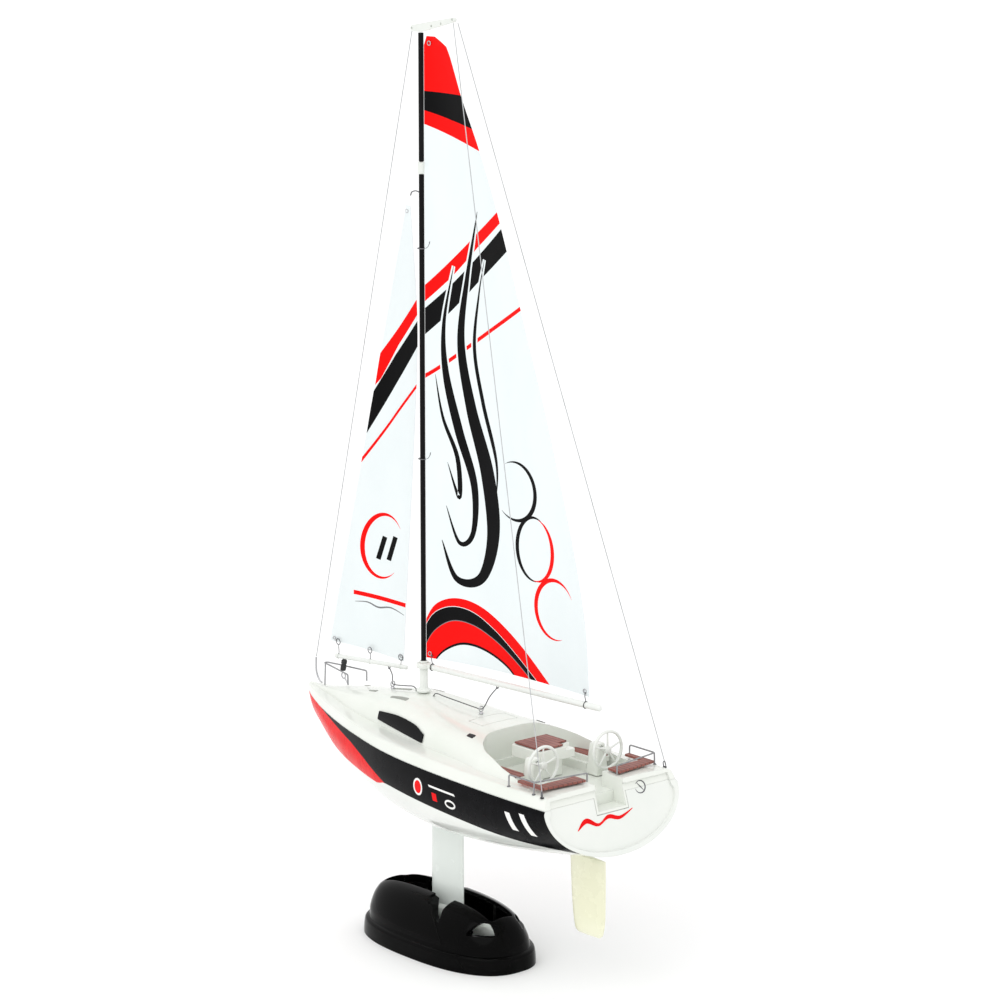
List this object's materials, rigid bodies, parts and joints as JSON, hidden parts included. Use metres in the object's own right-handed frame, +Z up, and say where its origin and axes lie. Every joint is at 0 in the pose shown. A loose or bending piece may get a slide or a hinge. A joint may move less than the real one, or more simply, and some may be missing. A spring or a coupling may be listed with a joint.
{
  "type": "radio controlled sailing yacht",
  "caption": "Model sailing yacht with a hollow hull, keel and ballast bulb, swinging sails, steering rudder and radio gear, on a glossy display stand.",
  "frame": {"origin": "the middle of the stand's underside, straight below the middle of the keel fin", "axes": "+Z up along the mast, -Y towards the bow, +X to port"},
  "size_m": [0.0986, 0.2724, 0.5289],
  "materials": {
    "hull_gloss": "glossy moulding with applied bands of black, red and white film",
    "deck_gloss": "glossy white moulding",
    "window_black": "polished black film",
    "keel_gloss": "glossy white",
    "bulb_coated": "cast metal ballast under smooth white paint",
    "rudder_cream": "satin cream",
    "steel": "bright drawn wire and turned steel",
    "brass": "drawn tube",
    "white_plastic": "satin moulded nylon",
    "spar_white": "white painted tube",
    "mast_black": "black coated tube with a soft sheen",
    "black_plastic": "fine textured black",
    "servo_blue": "translucent blue case",
    "battery_wrap": "shrink wrap",
    "board_green": "solder mask",
    "rigging_wire": "fine coated wire",
    "sheet_cord": "braided dark cord",
    "sail_film": "smooth printed sail film",
    "wheel_grey": "pale grey moulding",
    "teak": "reddish brown, printed as planks",
    "stand_black": "high gloss black"
  },
  "bodies": {
    "stand": {"display_stand": "stand_black"},
    "boat": {"backstay_port": "rigging_wire", "backstay_starboard": "rigging_wire", "battery_pack": "battery_wrap", "bow_fitting": "steel", "bow_pulpit": "steel", "cabin_window_port": "window_black", "cabin_window_starboard": "window_black", "cockpit_table": "deck_gloss", "deck_eye_jib": "steel", "deck_eye_main": "steel", "deck_eye_tack": "steel", "deck_moulding": "deck_gloss", "equipment_tray": "black_plastic", "forestay": "rigging_wire", "helm_pedestal_port": "deck_gloss", "helm_pedestal_starboard": "deck_gloss", "hull_shell": "hull_gloss", "jib_head_hook": "steel", "jib_sheet": "sheet_cord", "keel_bolt": "steel", "keel_bulb": "bulb_coated", "keel_fin": "keel_gloss", "keel_nut": "steel", "main_sheet": "sheet_cord", "mast_crane": "white_plastic", "mast_joint": "white_plastic", "mast_lower": "mast_black", "mast_socket": "white_plastic", "mast_upper": "mast_black", "power_switch": "black_plastic", "receiver_board": "board_green", "rudder_servo": "servo_blue", "rudder_tube": "brass", "sail_winch_servo": "servo_blue", "stern_rail_port": "steel", "stern_rail_starboard": "steel", "stern_seat_port": "teak", "stern_seat_starboard": "teak", "table_top": "teak"},
    "mainsail_rig": {"main_boom": "spar_white", "gooseneck": "white_plastic", "mainsail": "sail_film", "luff_ring_lower": "steel", "luff_ring_upper": "steel"},
    "jib_rig": {"jib_boom": "spar_white", "jib_swivel": "black_plastic", "jib": "sail_film"},
    "rudder": {"rudder_blade": "rudder_cream", "rudder_stock": "steel", "tiller_arm": "white_plastic"},
    "servo_horn": {"rudder_servo_horn": "white_plastic"},
    "pushrod": {"rudder_pushrod": "steel"},
    "winch_arm": {"sail_winch_arm": "white_plastic"},
    "port_wheel": {"helm_wheel_port": "wheel_grey"},
    "starboard_wheel": {"helm_wheel_starboard": "wheel_grey"},
    "switch": {"switch_slider": "white_plastic"},
    "hatch": {"service_hatch": "deck_gloss"}
  },
  "joints": [
    {"name": "boat_lift", "type": "slide", "parent": "stand", "child": "boat", "axis": [0, 0, 1], "range_m": [0, 0.06]},
    {"name": "main_boom_swing", "type": "hinge", "parent": "boat", "child": "mainsail_rig", "pos_m": [0, -0.0215, 0.1614], "axis": [0, 0, 1], "range_deg": [-60.5, 49.5]},
    {"name": "jib_boom_swing", "type": "hinge", "parent": "boat", "child": "jib_rig", "pos_m": [0, -0.0945, 0.1475], "axis": [0, 0.2182, 0.9759], "range_deg": [-70, 40]},
    {"name": "rudder_turn", "type": "hinge", "parent": "boat", "child": "rudder", "pos_m": [0, 0.112, 0.09], "axis": [0, 0, 1], "range_deg": [-35, 35]},
    {"name": "servo_horn_turn", "type": "hinge", "parent": "boat", "child": "servo_horn", "pos_m": [0, 0.092, 0.111], "axis": [0, 0, 1], "range_deg": [-36, 36]},
    {"name": "pushrod_turn", "type": "hinge", "parent": "servo_horn", "child": "pushrod", "pos_m": [0.01, 0.092, 0.1112], "axis": [0, 0, 1], "range_deg": [-36, 36]},
    {"name": "winch_arm_turn", "type": "hinge", "parent": "boat", "child": "winch_arm", "pos_m": [0, 0.06, 0.1128], "axis": [0, 0, 1], "range_deg": [-45, 45]},
    {"name": "port_wheel_turn", "type": "hinge", "parent": "boat", "child": "port_wheel", "pos_m": [0.0235, 0.1075, 0.135], "axis": [0, 1, 0], "continuous": true},
    {"name": "starboard_wheel_turn", "type": "hinge", "parent": "boat", "child": "starboard_wheel", "pos_m": [-0.0235, 0.1075, 0.135], "axis": [0, 1, 0], "continuous": true},
    {"name": "switch_slide", "type": "slide", "parent": "boat", "child": "switch", "axis": [0, -1, 0], "range_m": [0, 0.0024]},
    {"name": "hatch_lift", "type": "slide", "parent": "boat", "child": "hatch", "axis": [0, 0, 1], "range_m": [0, 0.009]}
  ],
  "couplings": [
    {"joint": "servo_horn_turn", "follows": "rudder_turn", "ratio": 1},
    {"joint": "pushrod_turn", "follows": "rudder_turn", "ratio": -1}
  ]
}
